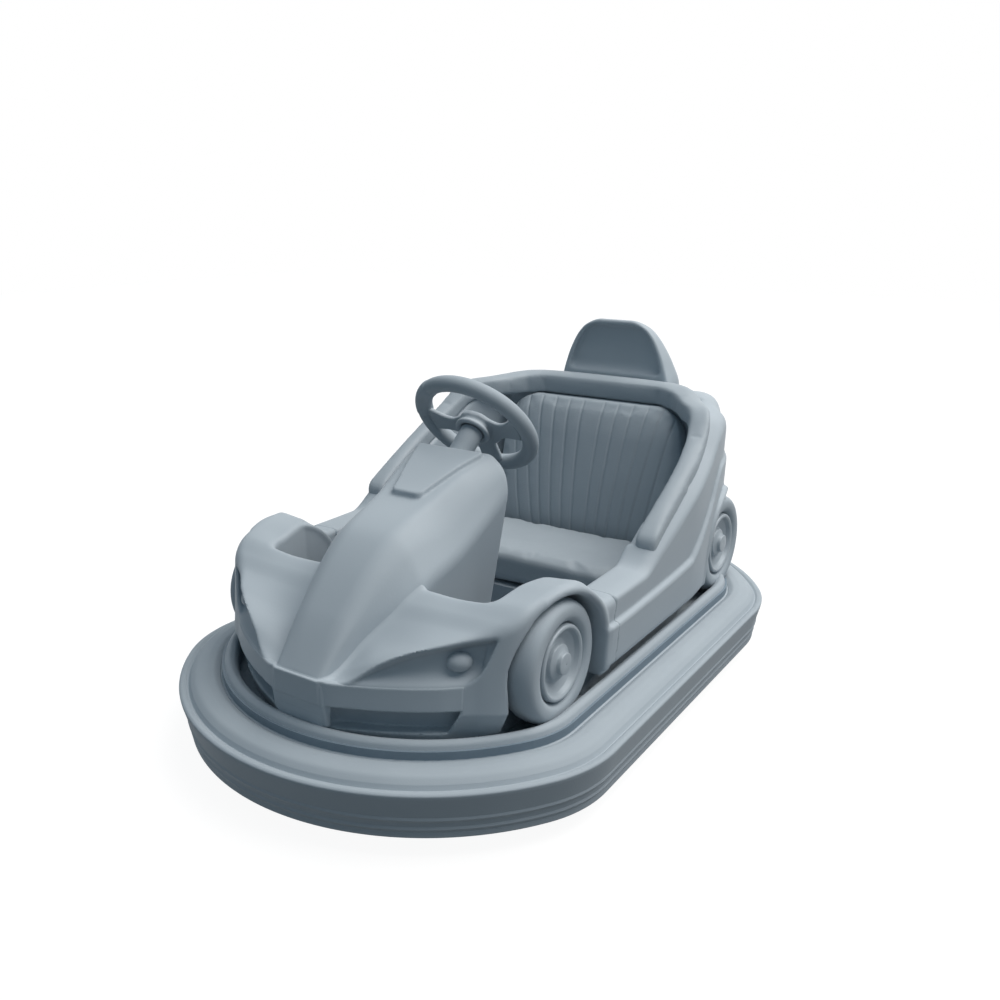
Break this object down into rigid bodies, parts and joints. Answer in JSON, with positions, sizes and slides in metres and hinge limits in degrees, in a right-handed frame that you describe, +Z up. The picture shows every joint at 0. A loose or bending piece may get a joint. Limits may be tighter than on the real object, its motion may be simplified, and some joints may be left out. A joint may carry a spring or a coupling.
{
  "type": "bumper car",
  "caption": "Fairground bumper car with a rubber bumper ring, low open body, side wheels, steering wheel and driven running gear underneath.",
  "frame": {"origin": "on the floor under the middle of the bumper ring", "axes": "+X to the car's left, -Y to its front, +Z up"},
  "size_m": [1.15, 1.7559, 0.888],
  "materials": {
    "bumper_rubber": "moulded rubber tube in pale blue-grey, satin",
    "chassis_steel": "welded steel in matt pale blue-grey paint",
    "deck_shell": "moulded deck rim, matt pale blue-grey",
    "body_shell": "moulded body shell, matt pale blue-grey",
    "seat_shell": "moulded seat base, matt pale blue-grey",
    "seat_vinyl": "padded vinyl in pale blue-grey with sewn seams",
    "side_tyre": "smooth tyre in pale blue-grey",
    "side_rim": "pressed wheel in matt pale blue-grey paint",
    "running_tyre": "solid running tyre",
    "bare_steel": "turned steel",
    "steering_grip": "soft moulded grip, matt pale blue-grey",
    "steering_plastic": "moulded spokes, matt pale blue-grey",
    "lamp_lens": "opaque moulded lens",
    "battery_case": "closed battery case",
    "motor_paint": "painted motor housing"
  },
  "bodies": {
    "chassis": {"bumper_ring": "bumper_rubber", "chassis_ring": "chassis_steel", "deck_rim": "deck_shell", "floor_pan": "chassis_steel", "frame_rails": "chassis_steel", "front_body": "body_shell", "rear_body": "body_shell", "centre_console": "body_shell", "nose_bar": "body_shell", "coaming_pad": "seat_vinyl", "headrest": "body_shell", "seat_base": "seat_shell", "seat_cushion": "seat_vinyl", "seat_back": "seat_vinyl", "battery_box": "battery_case", "headlamp_left": "lamp_lens", "headlamp_right": "lamp_lens", "accelerator_pedal": "chassis_steel", "steering_column": "steering_plastic", "drive_pedestal": "chassis_steel", "runner_bracket_left": "chassis_steel", "runner_bracket_right": "chassis_steel", "axle_front_left": "bare_steel", "axle_front_right": "bare_steel", "axle_rear_left": "bare_steel", "axle_rear_right": "bare_steel"},
    "steering": {"steering_rim": "steering_grip", "steering_spokes": "steering_plastic", "steering_shaft": "bare_steel"},
    "drive_unit": {"drive_fork": "chassis_steel", "drive_motor": "motor_paint"},
    "drive_wheel": {"drive_tyre": "running_tyre", "drive_hub": "bare_steel"},
    "wheel_front_left": {"tyre_front_left": "side_tyre", "rim_front_left": "side_rim"},
    "wheel_front_right": {"tyre_front_right": "side_tyre", "rim_front_right": "side_rim"},
    "wheel_rear_left": {"tyre_rear_left": "side_tyre", "rim_rear_left": "side_rim"},
    "wheel_rear_right": {"tyre_rear_right": "side_tyre", "rim_rear_right": "side_rim"},
    "runner_left": {"runner_tyre_left": "running_tyre", "runner_hub_left": "bare_steel"},
    "runner_right": {"runner_tyre_right": "running_tyre", "runner_hub_right": "bare_steel"}
  },
  "joints": [
    {"name": "steering_turn", "type": "hinge", "parent": "chassis", "child": "steering", "pos_m": [0, -0.091, 0.704], "axis": [0, 0.7771, 0.6293], "range_deg": [-180, 180]},
    {"name": "drive_steer", "type": "hinge", "parent": "chassis", "child": "drive_unit", "pos_m": [0, -0.43, 0.19], "axis": [0, 0, 1], "range_deg": [-180, 180]},
    {"name": "drive_roll", "type": "hinge", "parent": "drive_unit", "child": "drive_wheel", "pos_m": [0, -0.43, 0.085], "axis": [1, 0, 0], "continuous": true},
    {"name": "roll_front_left", "type": "hinge", "parent": "chassis", "child": "wheel_front_left", "pos_m": [0.398, -0.405, 0.303], "axis": [1, 0, 0], "continuous": true},
    {"name": "roll_front_right", "type": "hinge", "parent": "chassis", "child": "wheel_front_right", "pos_m": [-0.398, -0.405, 0.303], "axis": [1, 0, 0], "continuous": true},
    {"name": "roll_rear_left", "type": "hinge", "parent": "chassis", "child": "wheel_rear_left", "pos_m": [0.398, 0.495, 0.303], "axis": [1, 0, 0], "continuous": true},
    {"name": "roll_rear_right", "type": "hinge", "parent": "chassis", "child": "wheel_rear_right", "pos_m": [-0.398, 0.495, 0.303], "axis": [1, 0, 0], "continuous": true},
    {"name": "runner_roll_left", "type": "hinge", "parent": "chassis", "child": "runner_left", "pos_m": [0.255, 0.545, 0.06], "axis": [1, 0, 0], "continuous": true},
    {"name": "runner_roll_right", "type": "hinge", "parent": "chassis", "child": "runner_right", "pos_m": [-0.255, 0.545, 0.06], "axis": [1, 0, 0], "continuous": true}
  ],
  "couplings": [
    {"joint": "drive_steer", "follows": "steering_turn", "ratio": 1}
  ]
}
